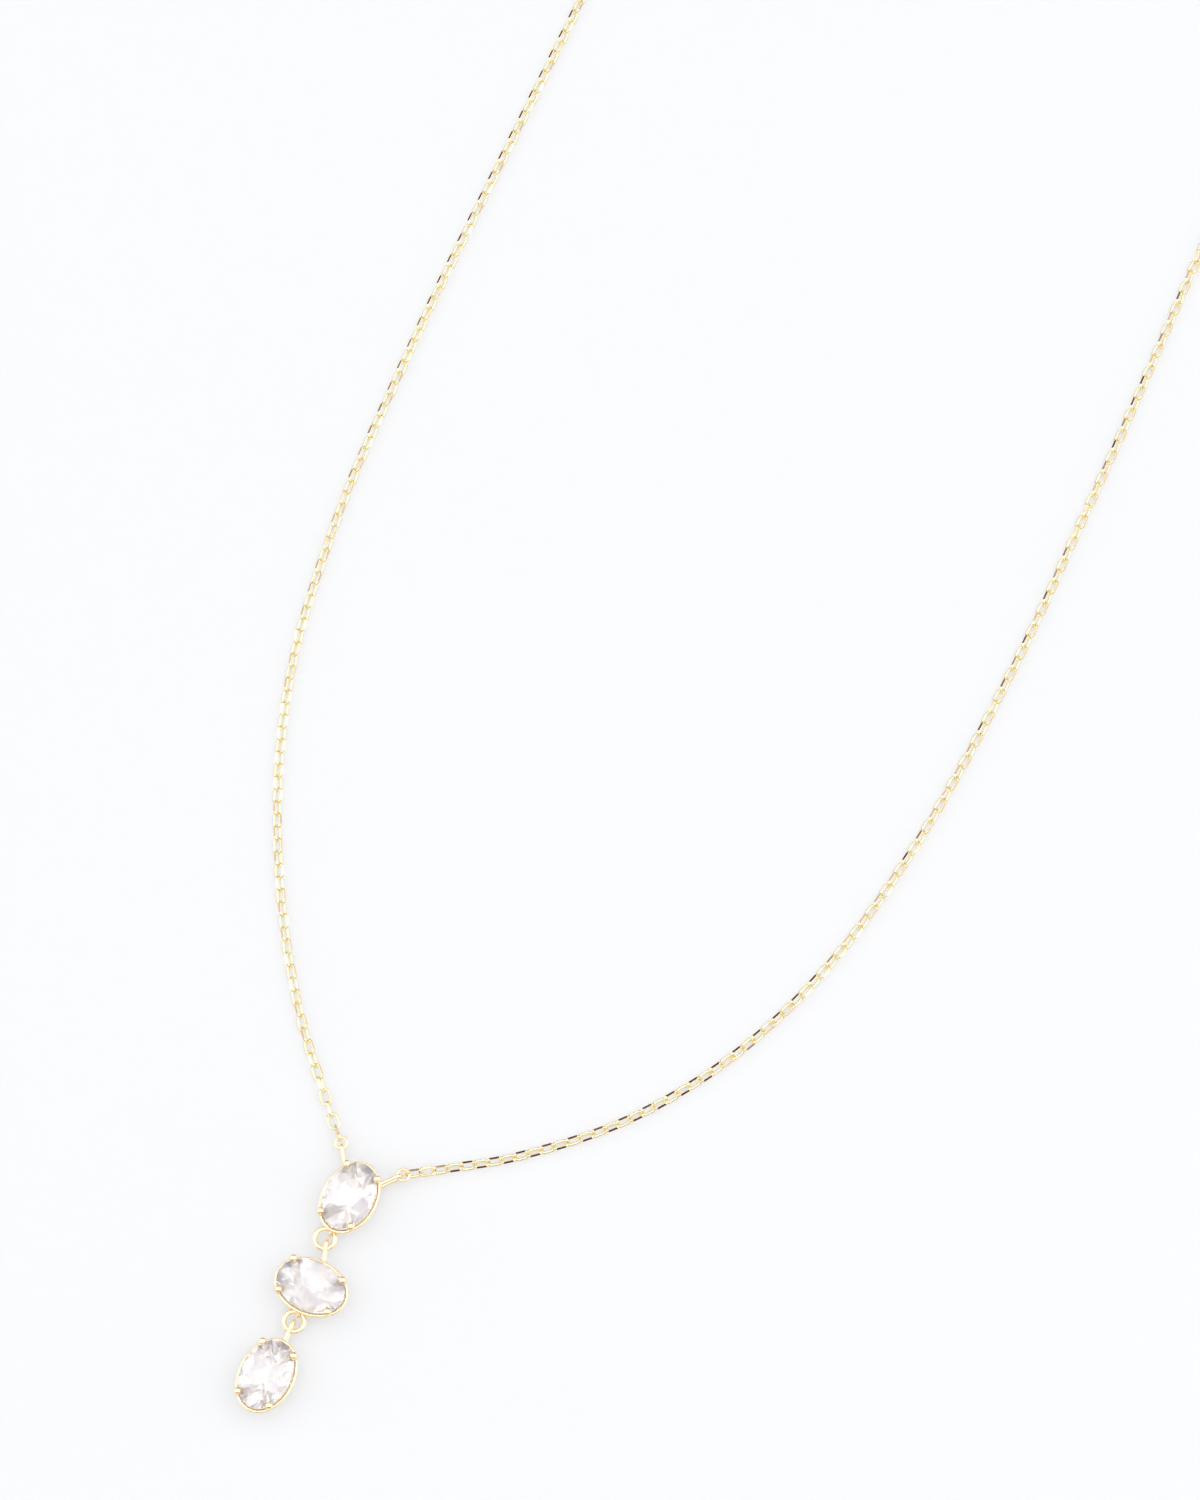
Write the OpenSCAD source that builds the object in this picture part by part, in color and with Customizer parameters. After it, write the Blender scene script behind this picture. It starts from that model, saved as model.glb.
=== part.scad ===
// Drop necklace: three oval stones in claw settings, hung under a fine closed chain.
// It lies on a surface at z = 0, with the drop towards -Y and the clasp towards +Y.
// The origin is the middle of the whole outline, on the surface.

/* [Stones] */
// Width of each oval stone
stone_w = 5; // [4.8:0.05:5.1]
// Length of each oval stone
stone_l = 7; // [6.8:0.05:7.1]
// Height of the crown above the girdle
crown_h = 0.9; // [0.75:0.05:1]
// Thickness of the girdle
girdle_h = 0.12; // [0.08:0.02:0.16]
// Depth of the pavilion below the girdle
pavilion_h = 2.1; // [1.8:0.05:2.3]
// Length of the keel, the ridge that the pavilion ends in
keel_l = 1.6; // [1.2:0.1:2]
// Height of the girdle's lower edge above the surface
girdle_z = 2.4; // [2.35:0.05:2.6]

/* [Settings] */
// Width of the upper rail, outside to outside
rail_w = 5.6; // [5.5:0.05:5.8]
// Length of the upper rail, outside to outside
rail_l = 7.6; // [7.5:0.05:7.8]
// Thickness of the upper rail's round wire
rail_wire = 0.42; // [0.36:0.02:0.46]
// Height of the upper rail's middle above the surface
rail_z = 1.65; // [1.6:0.05:1.75]
// Width of the base rail, outside to outside
base_w = 3.8; // [3.6:0.1:4]
// Length of the base rail, outside to outside
base_l = 5.4; // [5.2:0.1:5.6]
// Breadth of the base rail's flat band
base_band = 0.45; // [0.4:0.05:0.55]
// Height of the base rail
base_h = 0.4; // [0.3:0.05:0.45]
// Thickness of a claw
claw_wire = 0.56; // [0.5:0.02:0.6]
// Diameter of the bead at a claw's tip
bead_d = 0.8; // [0.7:0.05:0.85]

/* [Eyelets and rings] */
// Height of the eyelets' and jump rings' middle above the surface
ring_z = 0.98; // [0.94:0.02:1]
// Thickness of an eyelet's wire
eyelet_wire = 0.38; // [0.34:0.02:0.4]
// Height of a long eyelet, outside to outside
eyelet_h = 1.5; // [1.44:0.02:1.54]
// How far a long eyelet reaches out from the upper rail's middle line
eyelet_reach = 2.6; // [2.5:0.05:2.7]
// Outer diameter of a jump ring between two stones
jump_ring_d = 2.48; // [2.4:0.02:2.5]
// Thickness of a jump ring's wire
jump_ring_wire = 0.48; // [0.42:0.02:0.48]
// Outer diameter of the small ring at each end of the chain
chain_ring_d = 1.44; // [1.4:0.02:1.46]
// Thickness of that small ring's wire
chain_ring_wire = 0.3; // [0.26:0.02:0.3]

/* [Chain] */
// Width of the chain's round form
chain_d = 1; // [0.9:0.05:1.1]
// Outer width of one link
link_w = 1.19; // [1.1:0.01:1.2]
// Thickness of a link's wire
link_wire = 0.25; // [0.22:0.01:0.26]

/* [Clasp] */
// Outer diameter of the round clasp
clasp_d = 4.8; // [4.6:0.1:5]
// Thickness of the clasp's body
clasp_body = 1; // [0.9:0.05:1.05]
// Outer diameter of the ring that the clasp takes
clasp_ring_d = 3.1; // [3:0.05:3.2]
// Thickness of that ring's wire
clasp_ring_wire = 0.5; // [0.44:0.02:0.5]

/* [Hidden] */
$fn = 32;

gold = [0.90, 0.72, 0.38];
clear = [0.88, 0.90, 0.95];

// Where each stone's middle lies, and how far it is turned clockwise from the drop's line
top_at = [-3.5, -76.2];
middle_at = top_at + [0.3, -9.5];
bottom_at = top_at + [0, -19];
top_turn = 4;
middle_turn = 1;
bottom_turn = 1.5;

// Directions in which the long eyelets point, clockwise from each setting's own +Y
chain_eyelet_angle = 37.5;
middle_eyelet_lean = -17;
bottom_eyelet_lean = -1;

// Directions from the two small rings to the chain, clockwise from +Y
left_pull = -44;
right_pull = 57;

// Directions from the drop eyelets to the middles of the two jump rings, clockwise from -Y
upper_ring_swing = 20;
lower_ring_swing = 9;

rail_half_w = (rail_w - rail_wire) / 2;
rail_half_l = (rail_l - rail_wire) / 2;

// A claw stands on the base rail, passes the stone's edge and ends in a bead over the crown
claw_param = 48.5;
claw_foot_z = 0.2;
claw_knee_z = girdle_z - 0.15;
claw_knee_out = 0.16;
claw_tip_z = girdle_z + girdle_h + 0.36;
claw_tip_out = 0.02;
// The upper length of a claw is this much slimmer in radius, and starts inside the lower one
claw_taper = 0.02;
claw_overlap = 0.06;
seat_gap = 0.04;

// The part of a long eyelet that runs in under the rail it is soldered to
eyelet_inset = 0.84;
// The small eyelet under a setting's lower end, which a jump ring passes through
drop_eyelet_wire = 0.32;
drop_eyelet_d = 1.28;

jump_ring_r = (jump_ring_d - jump_ring_wire) / 2;
chain_ring_r = (chain_ring_d - chain_ring_wire) / 2;

// Clearance between a held wire and what holds it, and between it and the chain's end
hold_gap = 0.03;
end_gap = 0.05;
// How far an end link's wire runs in under the chain's round form
link_root = 1.1;

// The back of the loop: a half circle round this point, with the clasp at its top
loop_r = 36.2;
loop_y = 60.6;
clasp_y = 96.4;
clasp_x = -0.165;
clasp_z = 0.87;
clasp_tilt = 11;
clasp_eyelet_at = 2.7;
clasp_eyelet_r = 0.57;
clasp_eyelet_wire = 0.36;
clasp_eyelet_z = 0.77;
clasp_ring_at = [2.1, clasp_y, 1.32];
clasp_ring_lean = 55;
clasp_ring_r = (clasp_ring_d - clasp_ring_wire) / 2;

// Angles of the route's points along the half circle, from its end to the clasp
arc_steps = [18, 36, 54, 72];
// Height of the chain's middle at the last of them, where it starts to rise to the clasp
left_rise_z = 0.54;
right_rise_z = 0.6;

// A vector of a given length in a direction clockwise from +Y
function heading(angle, length) = length * [sin(angle), cos(angle)];
// The distance from an oval's middle to its edge in a direction clockwise from +Y
function oval_reach(half_w, half_l, angle) =
    1 / sqrt(pow(sin(angle) / half_w, 2) + pow(cos(angle) / half_l, 2));
function lifted(p, z) = [p[0], p[1], z];
// The points of the half circle at the loop's back, side -1 for the left and 1 for the right
function back_points(side, rise_z) = [for (angle = arc_steps)
    [side * loop_r * cos(angle), loop_y + loop_r * sin(angle), angle == max(arc_steps) ? rise_z : chain_z]];

// Middles of the small rings that hold the chain
eyelet_tip = oval_reach(rail_half_w, rail_half_l, chain_eyelet_angle) + eyelet_reach;
ring_left_at = top_at + heading(top_turn - chain_eyelet_angle, eyelet_tip);
ring_right_at = top_at + heading(top_turn + chain_eyelet_angle, eyelet_tip);

// Middles of the jump rings, each through the drop eyelet of the setting above it
drop_top_at = top_at - heading(top_turn, rail_half_l);
drop_middle_at = middle_at - heading(middle_turn, rail_half_w);
jump_upper_at = drop_top_at - heading(upper_ring_swing, jump_ring_r);
jump_lower_at = drop_middle_at - heading(lower_ring_swing, jump_ring_r);

// The chain's routes, from the small rings to the clasp: points that the chain passes through
chain_z = chain_d / 2;
ring_to_chain = chain_ring_r + chain_ring_wire / 2 + end_gap;
left_start = lifted(ring_left_at + heading(left_pull, ring_to_chain), ring_z);
right_start = lifted(ring_right_at + heading(right_pull, ring_to_chain), ring_z);
left_side = [[-9.5, -68.4, 0.6], [-15.5, -61.7, 0.51], [-21.2, -53.6, chain_z], [-26.1, -44.8, chain_z],
             [-30, -35.6, chain_z], [-32.8, -26, chain_z], [-34.4, -16.2, chain_z], [-35.4, -6.2, chain_z],
             [-35.8, 3.8, chain_z], [-36.1, 13.8, chain_z], [-36.2, 24, chain_z], [-36.2, 33, chain_z],
             [-36.2, 42, chain_z], [-36.2, 51, chain_z], [-36.2, 60.6, chain_z]];
right_side = [[4.3, -69.3, 0.6], [10.1, -65.4, 0.51], [17.5, -58.7, chain_z], [23.5, -50.7, chain_z],
              [28, -41.8, chain_z], [31.1, -32.3, chain_z], [33.1, -22.5, chain_z], [34.4, -12.6, chain_z],
              [35.2, -2.6, chain_z], [35.7, 7.3, chain_z], [35.9, 17.3, chain_z], [36.1, 27.3, chain_z],
              [36.2, 38, chain_z], [36.2, 49, chain_z], [36.2, 60.6, chain_z]];
left_end = [clasp_x - clasp_eyelet_at - clasp_eyelet_r - clasp_eyelet_wire / 2 - end_gap,
            clasp_y, clasp_eyelet_z];
right_end = clasp_ring_at + [clasp_ring_r + clasp_ring_wire / 2 + end_gap, 0, 0];
left_route = concat([left_start], left_side, back_points(-1, left_rise_z), [left_end]);
right_route = concat([right_start], right_side, back_points(1, right_rise_z), [right_end]);
ring_steps = 2;
tube_sides = 8;

// A smooth line through the points a, b, c and d, between b and c
function bend(a, b, c, d, t) =
    b + ((c - a) * t + (2 * a - 5 * b + 4 * c - d) * t * t + (3 * b - a - 3 * c + d) * t * t * t) / 2;
function smooth(route) = let (last = len(route) - 1) concat(
    [for (i = [0 : last - 1]) for (k = [0 : ring_steps - 1])
        bend(route[max(i - 1, 0)], route[i], route[i + 1], route[min(i + 2, last)], k / ring_steps)],
    [route[last]]);
function unit(v) = v / norm(v);
// One ring of a tube: corners round the point at, square to the direction along
function tube_ring(at, along, radius) =
    let (side = unit(cross(along, [0, 0, 1])), up = cross(side, along))
    [for (k = [0 : tube_sides - 1])
        let (a = 360 * (k + 0.5) / tube_sides) at + radius * (cos(a) * side + sin(a) * up)];

// The chain's round form along a route, as one closed body
module chain_tube(route) {
    line = smooth(route);
    last = len(line) - 1;
    radius = chain_d / 2 / cos(180 / tube_sides);
    rings = [for (i = [0 : last])
        tube_ring(line[i], unit(line[min(i + 1, last)] - line[max(i - 1, 0)]), radius)];
    polyhedron(
        points = [for (ring = rings) each ring],
        faces = concat(
            [[for (k = [tube_sides - 1 : -1 : 0]) k]],
            [for (i = [0 : last - 1]) for (k = [0 : tube_sides - 1])
                let (n = (k + 1) % tube_sides, a = i * tube_sides)
                [a + k, a + n, a + n + tube_sides, a + k + tube_sides]],
            [[for (k = [0 : tube_sides - 1]) last * tube_sides + k]]));
}

// Half of the chain's end link: it stands out of the tube's end and holds a wire of radius held_r
module end_link(at, angle, roll, held_r) {
    bow_r = (link_w - link_wire) / 2;
    tip = end_gap + 2 * held_r + hold_gap + link_wire / 2;
    straight = link_root + tip - bow_r;
    translate(at) rotate([roll, 0, 90 - angle]) translate([tip - bow_r, 0, 0]) {
        rotate([90, 0, 0]) rotate(-90) rotate_extrude(angle = 180)
            translate([bow_r, 0]) circle(r = link_wire / 2, $fn = 16);
        for (s = [-1, 1]) translate([-straight, 0, s * bow_r]) rotate([0, 90, 0])
            cylinder(h = straight, r = link_wire / 2, $fn = 16);
    }
}

// A closed round ring of wire, lying flat round the origin
module round_ring(middle_r, wire_r) {
    rotate_extrude($fn = 48) translate([middle_r, 0]) circle(r = wire_r, $fn = 20);
}

// A closed loop of wire with straight sides, lying flat round the origin with its length along Y
module long_loop(length, width, wire_r) {
    bow_r = width / 2 - wire_r;
    half = (length - width) / 2;
    for (t = [0, 180]) rotate(t) {
        translate([0, half, 0]) rotate_extrude(angle = 180) translate([bow_r, 0]) circle(r = wire_r, $fn = 20);
        translate([bow_r, -half, 0]) rotate([-90, 0, 0]) cylinder(h = 2 * half, r = wire_r, $fn = 20);
    }
}

// An oval of round wire, lying flat round the origin: rings of corners along its middle line
module oval_wire(half_w, half_l, wire_r) {
    steps = 36;
    sides = 10;
    function corner(a, b) = let (
        out = [half_l * cos(a), half_w * sin(a), 0] / norm([half_l * cos(a), half_w * sin(a)]))
        [half_w * cos(a), half_l * sin(a), 0] + wire_r * (cos(b) * out + [0, 0, sin(b)]);
    polyhedron(
        points = [for (i = [0 : steps - 1]) for (k = [0 : sides - 1])
            corner(360 * i / steps, 360 * (k + 0.5) / sides)],
        faces = [for (i = [0 : steps - 1]) for (k = [0 : sides - 1])
            let (n = (k + 1) % sides, a = i * sides, b = (i + 1) % steps * sides)
            each [[a + k, a + n, b + n], [a + k, b + n, b + k]]]);
}

// A flat oval band standing on the surface
module oval_band(width, length, band, height) {
    module oval(w, l) polygon([for (a = [0 : 9 : 351]) [w / 2 * cos(a), l / 2 * sin(a)]]);
    linear_extrude(height) difference() {
        oval(width, length);
        oval(width - 2 * band, length - 2 * band);
    }
}

// A straight round wire from p to q
module rod(p, q, radius) {
    v = q - p;
    translate(p) rotate([0, acos(v[2] / norm(v)), atan2(v[1], v[0])])
        cylinder(h = norm(v), r = radius, $fn = 20);
}

// An oval brilliant: table, eight star, eight kite and sixteen girdle facets, and the pavilion's, which
// run down to a short keel along the stone's length.
// grow makes it that much larger all round, for the seat that the claws hold it in.
module brilliant(grow = 0) {
    table_r = 0.5;
    star_r = 0.78;
    // The pavilion's slope breaks at this share of its height, where it stands out by fullness
    break_share = 0.6;
    fullness = 0.04;
    half_w = stone_w / 2 + grow;
    half_l = stone_l / 2 + grow;
    keel = keel_l / 2 + grow;
    low = -grow;
    high = girdle_h + grow;
    star_z = high + crown_h * (1 - (star_r * cos(22.5) - table_r) / (1 - table_r));
    function ring(r, z, count, first) = [for (k = [0 : count - 1])
        let (a = first + 360 * k / count) [r * half_w * cos(a), r * half_l * sin(a), z]];
    // The corners where the slope breaks, part of the way from the girdle to the keel's nearer end
    breaks = [for (p = ring(1 - break_share, low - pavilion_h * break_share - fullness, 8, 22.5))
        p + [0, sign(p[1]) * keel * break_share, 0]];
    table = 0;
    star = 8;
    top = 16;
    bottom = 32;
    lower = 48;
    function keel_end(k) = k < 4 ? 56 : 57;
    polyhedron(
        points = concat(ring(table_r, high + crown_h, 8, 0), ring(star_r, star_z, 8, 22.5), ring(1, high, 16, 0),
                        ring(1, low, 16, 0), breaks,
                        [[0, keel, low - pavilion_h], [0, -keel, low - pavilion_h]]),
        faces = concat(
            [[for (k = [7 : -1 : 0]) table + k]],
            [for (k = [0 : 7]) let (n = (k + 1) % 8) each [
                [table + k, table + n, star + k],
                [table + n, top + 2 * n, star + k],
                [table + n, star + n, top + 2 * n],
                [star + k, top + 2 * k + 1, top + 2 * k],
                [star + k, top + 2 * n, top + 2 * k + 1],
                [lower + k, bottom + 2 * k, bottom + 2 * k + 1],
                [lower + k, bottom + 2 * k + 1, bottom + 2 * n],
                [keel_end(k), lower + k, bottom + 2 * n],
                [keel_end(n), bottom + 2 * n, lower + n],
                if (keel_end(k) != keel_end(n)) [keel_end(k), bottom + 2 * n, keel_end(n)]]],
            [for (j = [0 : 15]) let (n = (j + 1) % 16) [top + j, top + n, bottom + n, bottom + j]]));
}

// A point on an oval at a given parameter angle, in one of the four quarters
function quarter(sx, sy, half_w, half_l, z) =
    [sx * half_w * cos(claw_param), sy * half_l * sin(claw_param), z];

module claw(sx, sy) {
    foot = quarter(sx, sy, (base_w - base_band) / 2, (base_l - base_band) / 2, claw_foot_z);
    knee = quarter(sx, sy, stone_w / 2 + claw_knee_out, stone_l / 2 + claw_knee_out, claw_knee_z);
    tip = quarter(sx, sy, stone_w / 2 + claw_tip_out, stone_l / 2 + claw_tip_out, claw_tip_z);
    rod(foot, knee + claw_overlap * (knee - foot), claw_wire / 2);
    rod(knee, tip, claw_wire / 2 - claw_taper);
    translate(tip) sphere(r = bead_d / 2, $fn = 28);
}

// A long eyelet standing on edge, soldered to the upper rail in the direction angle
module long_eyelet(angle, lean) {
    out = oval_reach(rail_half_w, rail_half_l, angle);
    length = eyelet_reach + eyelet_inset;
    rotate(-angle) translate([0, out, ring_z]) rotate(-lean)
        translate([0, eyelet_reach - length / 2, 0]) rotate([0, 90, 0])
        long_loop(length, eyelet_h, eyelet_wire / 2);
}

// The small eyelet under the upper rail, on the side away from the chain
module drop_eyelet(out) {
    translate([0, -out, ring_z]) rotate([0, 90, 0])
        round_ring((drop_eyelet_d - drop_eyelet_wire) / 2, drop_eyelet_wire / 2);
}

// Claws and rails of one setting, with the stone's long side along Y
module basket() {
    difference() {
        for (sx = [-1, 1], sy = [-1, 1]) claw(sx, sy);
        translate([0, 0, girdle_z]) brilliant(seat_gap);
    }
    translate([0, 0, rail_z]) oval_wire(rail_half_w, rail_half_l, rail_wire / 2);
    oval_band(base_w, base_l, base_band, base_h);
}

module setting_top() {
    color(gold) translate(top_at) rotate(-top_turn) {
        basket();
        for (s = [-1, 1]) long_eyelet(s * chain_eyelet_angle, 0);
        drop_eyelet(rail_half_l);
    }
}

// The middle stone lies across the drop, so its basket is turned a quarter
module setting_middle() {
    color(gold) translate(middle_at) rotate(-middle_turn) {
        rotate(90) {
            basket();
            long_eyelet(90, middle_eyelet_lean);
        }
        drop_eyelet(rail_half_w);
    }
}

module setting_bottom() {
    color(gold) translate(bottom_at) rotate(-bottom_turn) {
        basket();
        long_eyelet(0, bottom_eyelet_lean);
    }
}

module stone(at, turn) {
    color(clear) translate([at[0], at[1], girdle_z]) rotate(-turn) brilliant();
}
module stone_top() stone(top_at, top_turn);
module stone_middle() stone(middle_at, middle_turn + 90);
module stone_bottom() stone(bottom_at, bottom_turn);

module jump_ring(at) {
    color(gold) translate(lifted(at, ring_z)) round_ring(jump_ring_r, jump_ring_wire / 2);
}
module jump_ring_upper() jump_ring(jump_upper_at);
module jump_ring_lower() jump_ring(jump_lower_at);

module chain_ring(at) {
    color(gold) translate(lifted(at, ring_z)) round_ring(chain_ring_r, chain_ring_wire / 2);
}
module chain_ring_left() chain_ring(ring_left_at);
module chain_ring_right() chain_ring(ring_right_at);

module chain_left() {
    color(gold) {
        chain_tube(left_route);
        end_link(left_start, left_pull + 180, 0, chain_ring_wire / 2);
        end_link(left_end, 90, 90, clasp_eyelet_wire / 2);
    }
}

module chain_right() {
    color(gold) {
        chain_tube(right_route);
        end_link(right_start, right_pull + 180, 0, chain_ring_wire / 2);
        end_link(right_end, -90, -clasp_ring_lean, clasp_ring_wire / 2);
    }
}

// A round clasp, shut, with an eyelet on edge for the left side's end link
module clasp() {
    color(gold) {
        translate([clasp_x, clasp_y, clasp_z]) rotate([0, -clasp_tilt, 0])
            round_ring((clasp_d - clasp_body) / 2, clasp_body / 2);
        translate([clasp_x - clasp_eyelet_at, clasp_y, clasp_eyelet_z]) rotate([90, 0, 0])
            round_ring(clasp_eyelet_r, clasp_eyelet_wire / 2);
    }
}

module clasp_ring() {
    color(gold) translate(clasp_ring_at) rotate([clasp_ring_lean, 0, 0])
        round_ring(clasp_ring_r, clasp_ring_wire / 2);
}

setting_top();
setting_middle();
setting_bottom();
stone_top();
stone_middle();
stone_bottom();
jump_ring_upper();
jump_ring_lower();
chain_ring_left();
chain_ring_right();
chain_left();
chain_right();
clasp();
clasp_ring();
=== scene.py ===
"""A drop necklace lying on a pale surface: three clear oval stones in gold claw settings, hung end to
end under a fine diamond-cut cable chain. The sizes below are in millimetres, as in the part's source,
and each mesh is brought to metres as it is made."""

import math

import bpy
import bmesh
from mathutils import Matrix, Vector


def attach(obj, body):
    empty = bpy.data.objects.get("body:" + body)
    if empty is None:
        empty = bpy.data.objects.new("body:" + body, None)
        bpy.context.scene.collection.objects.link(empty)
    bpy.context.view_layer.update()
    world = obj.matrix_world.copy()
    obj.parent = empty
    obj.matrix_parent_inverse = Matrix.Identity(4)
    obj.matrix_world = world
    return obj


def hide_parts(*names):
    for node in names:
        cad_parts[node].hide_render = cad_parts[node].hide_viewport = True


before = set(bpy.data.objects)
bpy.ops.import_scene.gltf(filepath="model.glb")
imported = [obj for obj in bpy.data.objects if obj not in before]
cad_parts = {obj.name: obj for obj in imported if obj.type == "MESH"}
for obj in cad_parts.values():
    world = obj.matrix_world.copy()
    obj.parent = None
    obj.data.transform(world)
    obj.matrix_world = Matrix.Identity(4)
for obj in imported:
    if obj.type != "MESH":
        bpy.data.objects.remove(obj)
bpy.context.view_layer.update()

MM = 0.001

# Stones
STONE_W, STONE_L = 5.0, 7.0
CROWN_H, GIRDLE_H, PAVILION_H, KEEL_L = 0.9, 0.12, 2.1, 1.6
GIRDLE_Z = 2.4
SEAT_GAP = 0.03

# Settings
RAIL_W, RAIL_L, RAIL_WIRE, RAIL_Z = 5.58, 7.58, 0.4, 1.65
BASE_W, BASE_L, BASE_BAND, BASE_H = 3.8, 5.4, 0.45, 0.4
CLAW_WIRE, CLAW_ANGLE, BEAD_D = 0.56, 48.5, 0.78
CLAW_FOOT_Z = 0.2
CLAW_KNEE_OUT, CLAW_KNEE_Z = 0.16, GIRDLE_Z - 0.15
CLAW_TIP_OUT, CLAW_TIP_Z = 0.02, GIRDLE_Z + GIRDLE_H + 0.36
CLAW_SWELL, CLAW_TAPER = 1.04, 0.1
RAIL_HALF_W, RAIL_HALF_L = (RAIL_W - RAIL_WIRE) / 2, (RAIL_L - RAIL_WIRE) / 2
SOLDER_R, SOLDER_SQUASH, SOLDER_Z = 0.3, 0.8, RAIL_Z - 0.12

# Eyelets and rings
RING_Z = 0.98
EYELET_WIRE, EYELET_H, EYELET_REACH, EYELET_INSET = 0.38, 1.5, 2.6, 0.84
DROP_EYELET_D, DROP_EYELET_WIRE = 1.28, 0.32
JUMP_RING_D, JUMP_RING_WIRE = 2.48, 0.48
CHAIN_RING_D, CHAIN_RING_WIRE = 1.44, 0.3

# Where the stones lie, and how far each is turned clockwise from the drop's line
TOP_AT, TOP_TURN = Vector((-3.5, -76.2, 0)), 4
MIDDLE_AT, MIDDLE_TURN = TOP_AT + Vector((0.3, -9.5, 0)), 1
BOTTOM_AT, BOTTOM_TURN = TOP_AT + Vector((0, -19, 0)), 1.5
CHAIN_EYELET_ANGLE = 37.5
MIDDLE_EYELET_LEAN, BOTTOM_EYELET_LEAN = -17, -1
LEFT_PULL, RIGHT_PULL = -44, 57
UPPER_RING_SWING, LOWER_RING_SWING = 20, 9

# Chain: one link's wire, its middle line's half width and half length, and the flats cut on its sides.
# Away from the ends each link leans by a fixed angle, and all of them sway a little at random, in degrees
LINK_WIRE, LINK_HALF_W, LINK_HALF_L = 0.25, 0.47, 0.82
LINK_PITCH = 1.33
CUT_DEPTH, CUT_WIDTH = 0.05, 0.24
LINK_LEAN, LINK_SWAY = 7, 2
CHAIN_Z = 0.55

# HOLD_GAP is between an end link and the wire that it holds, and END_GAP between that wire's outer edge
# and the end of the chain's route
HOLD_GAP, END_GAP = 0.05, 0.05

# Clasp
CLASP_D, CLASP_BODY, CLASP_TILT = 4.79, 1.0, 11
CLASP_AT = Vector((-0.165, 96.4, 0.87))
CLASP_EYELET_OUT, CLASP_EYELET_Z = 2.7, 0.77
CLASP_EYELET_AT = Vector((CLASP_AT.x - CLASP_EYELET_OUT, CLASP_AT.y, CLASP_EYELET_Z))
CLASP_EYELET_R, CLASP_EYELET_WIRE = 0.57, 0.36
CLASP_RING_AT, CLASP_RING_LEAN = Vector((2.1, CLASP_AT.y, 1.32)), 55
CLASP_RING_D, CLASP_RING_WIRE = 3.1, 0.5

# The tent round the necklace: the line between its two slots, where their sides and tops fade out, as
# parts of a unit direction, the brightness and colours of its cloth, and the scale and edge of its clouds
OPENINGS = (-0.4, 0.916, 0)
SLOT_SIDE, SLOT_TOP = (0.5, 0.72), (0.44, 0.54)
TENT_LIGHT = 2.3
TENT_CLOTH, TENT_SHADE, SLOT_DARK = (1, 0.99, 0.975), (0.37, 0.355, 0.37), (0.06, 0.035, 0.03)
CLOUD_SCALE, CLOUD_EDGE = 28.0, (0.46, 0.56)

# The chain's route, from the small rings to the clasp, with the half circle at its back. Each side's
# points are (x, y). The route comes down to CHAIN_Z over the first of them, at the heights FALL_Z, and
# starts to rise to the clasp at the half circle's last step, where it is RISE_Z high
LOOP_R, LOOP_Y = 36.18, 60.6
ARC_STEPS = (18, 36, 54, 72)
FALL_Z, LEFT_RISE_Z, RIGHT_RISE_Z = (0.6, 0.56), 0.57, 0.62
LEFT_SIDE = [(-9.5, -68.4), (-15.5, -61.7), (-21.2, -53.6), (-26.1, -44.8), (-30, -35.6), (-32.8, -26),
             (-34.4, -16.2), (-35.4, -6.2), (-35.8, 3.8), (-36.1, 13.8), (-LOOP_R, 24), (-LOOP_R, 33),
             (-LOOP_R, 42), (-LOOP_R, 51), (-LOOP_R, LOOP_Y)]
RIGHT_SIDE = [(4.3, -69.3), (10.1, -65.4), (17.5, -58.7), (23.5, -50.7), (28, -41.8), (31.1, -32.3),
              (33.1, -22.5), (34.4, -12.6), (35.2, -2.6), (35.7, 7.3), (35.9, 17.3), (36.1, 27.3),
              (LOOP_R, 38), (LOOP_R, 49), (LOOP_R, LOOP_Y)]


# Directions and places

def heading(angle, length=1.0):
    """A level vector of a given length, in degrees clockwise from +Y."""
    a = math.radians(angle)
    return Vector((math.sin(a), math.cos(a), 0)) * length


def oval_reach(half_w, half_l, angle):
    """How far an oval reaches from its middle, in degrees clockwise from +Y."""
    a = math.radians(angle)
    return 1 / math.hypot(math.sin(a) / half_w, math.cos(a) / half_l)


def at_height(point, z):
    return Vector((point.x, point.y, z))


EYELET_TIP = oval_reach(RAIL_HALF_W, RAIL_HALF_L, CHAIN_EYELET_ANGLE) + EYELET_REACH
RING_LEFT_AT = at_height(TOP_AT + heading(TOP_TURN - CHAIN_EYELET_ANGLE, EYELET_TIP), RING_Z)
RING_RIGHT_AT = at_height(TOP_AT + heading(TOP_TURN + CHAIN_EYELET_ANGLE, EYELET_TIP), RING_Z)
JUMP_RING_R = (JUMP_RING_D - JUMP_RING_WIRE) / 2
CHAIN_RING_R = (CHAIN_RING_D - CHAIN_RING_WIRE) / 2
CLASP_RING_R = (CLASP_RING_D - CLASP_RING_WIRE) / 2
DROP_TOP_AT = TOP_AT - heading(TOP_TURN, RAIL_HALF_L)
DROP_MIDDLE_AT = MIDDLE_AT - heading(MIDDLE_TURN, RAIL_HALF_W)
JUMP_UPPER_AT = at_height(DROP_TOP_AT - heading(UPPER_RING_SWING, JUMP_RING_R), RING_Z)
JUMP_LOWER_AT = at_height(DROP_MIDDLE_AT - heading(LOWER_RING_SWING, JUMP_RING_R), RING_Z)


# Meshes, in millimetres until place() brings them to metres

def full_turn(count):
    """Evenly spaced angles, once round."""
    return [2 * math.pi * k / count for k in range(count)]


def circle(middle, radius, u, v, count):
    """Points on a circle in the plane of u and v."""
    return [middle + radius * (math.cos(a) * u + math.sin(a) * v) for a in full_turn(count)]


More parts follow.
